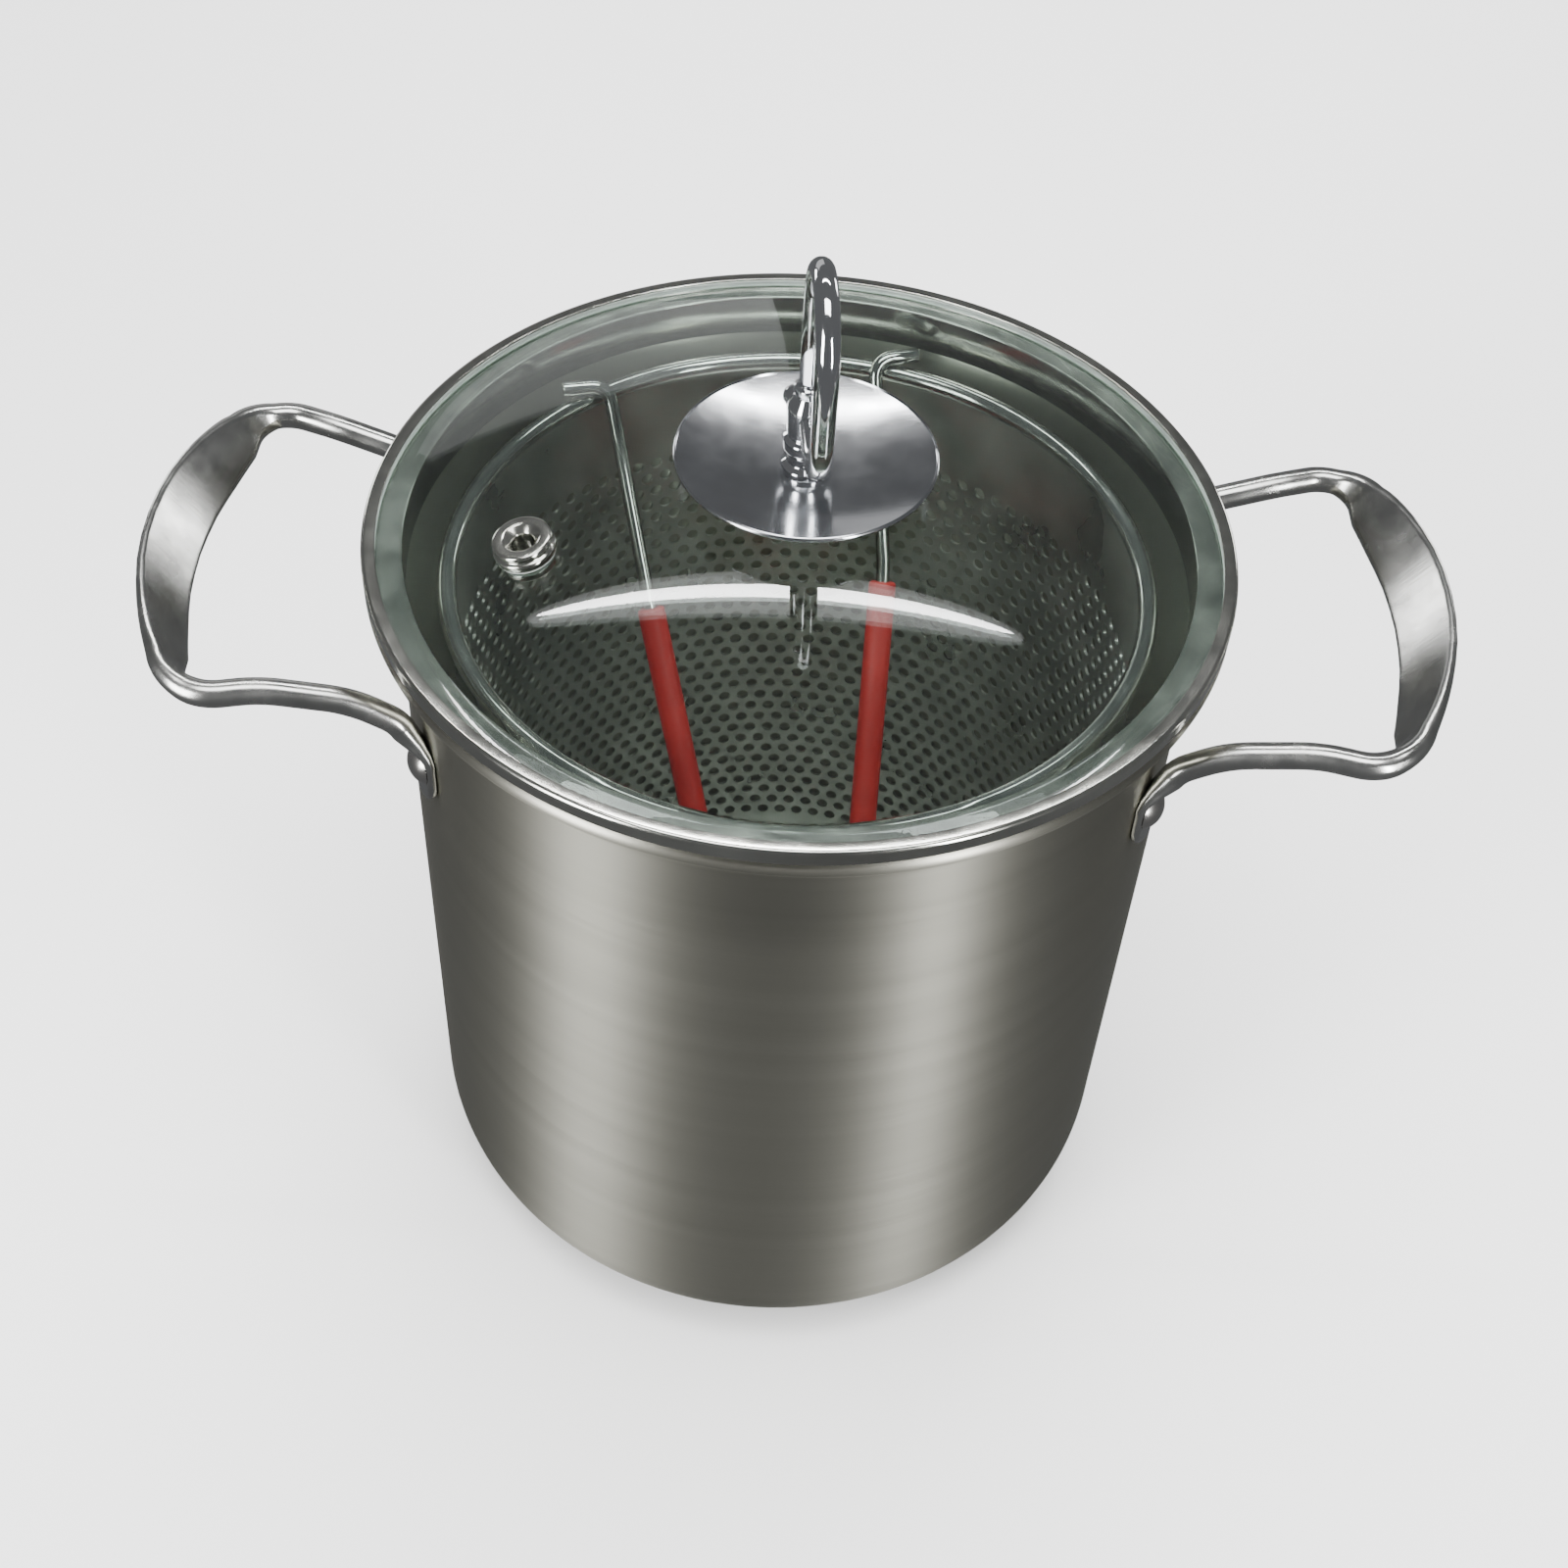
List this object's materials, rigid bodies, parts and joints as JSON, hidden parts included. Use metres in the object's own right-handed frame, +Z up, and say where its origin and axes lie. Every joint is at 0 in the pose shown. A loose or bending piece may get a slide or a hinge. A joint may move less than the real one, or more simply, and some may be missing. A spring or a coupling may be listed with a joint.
{
  "type": "deep fryer",
  "caption": "Tall stove-top deep fryer pot with side handles, a perforated lift-out basket, its detachable wire handle, and a domed glass lid with a loop knob.",
  "frame": {"origin": "on the surface that the pot stands on, on the pot's axis", "axes": "+Z up along the pot's axis, +X along the line of the two side handles towards the right handle, +Y away from the viewer"},
  "size_m": [0.331, 0.218, 0.3154],
  "materials": {
    "pot_steel": "brushed round the wall",
    "base_aluminium": "machined",
    "base_steel": "spun",
    "handle_steel": "polished",
    "rivet_steel": "polished",
    "basket_steel": "satin perforated sheet",
    "basket_rim_steel": "bright drawn wire",
    "wire_steel": "bright drawn wire",
    "sleeve_vinyl": "satin, slightly soft",
    "lid_ring_steel": "polished",
    "seal_silicone": "matt, translucent",
    "lid_glass": "clear, tempered",
    "vent_steel": "polished",
    "knob_chrome": "mirror polished",
    "washer_steel": "plain"
  },
  "bodies": {
    "pot": {"pot_shell": "pot_steel", "base_core": "base_aluminium", "base_cap": "base_steel", "left_handle": "handle_steel", "right_handle": "handle_steel", "left_rivets": "rivet_steel", "right_rivets": "rivet_steel"},
    "basket": {"basket_wall": "basket_steel", "basket_floor": "basket_steel", "basket_rim": "basket_rim_steel"},
    "basket_handle": {"basket_handle_wire": "wire_steel", "grip_sleeve": "sleeve_vinyl"},
    "lid": {"lid_ring": "lid_ring_steel", "rim_seal": "seal_silicone", "lid_glass": "lid_glass", "vent_grommet": "vent_steel", "vent_gasket": "seal_silicone", "vent_nut": "vent_steel", "knob_disc": "knob_chrome", "disc_gasket": "seal_silicone", "knob_stem": "knob_chrome", "knob_loop": "knob_chrome", "screw_gasket": "seal_silicone", "knob_washer": "washer_steel", "knob_screw": "washer_steel"}
  },
  "joints": [
    {"name": "basket_lift", "type": "slide", "parent": "pot", "child": "basket", "axis": [0, 0, 1], "range_m": [0, 0.24]},
    {"name": "handle_lift", "type": "slide", "parent": "basket", "child": "basket_handle", "axis": [0, 0, 1], "range_m": [0, 0.22]},
    {"name": "lid_lift", "type": "slide", "parent": "basket_handle", "child": "lid", "axis": [0, 0, 1], "range_m": [0, 0.12]}
  ]
}
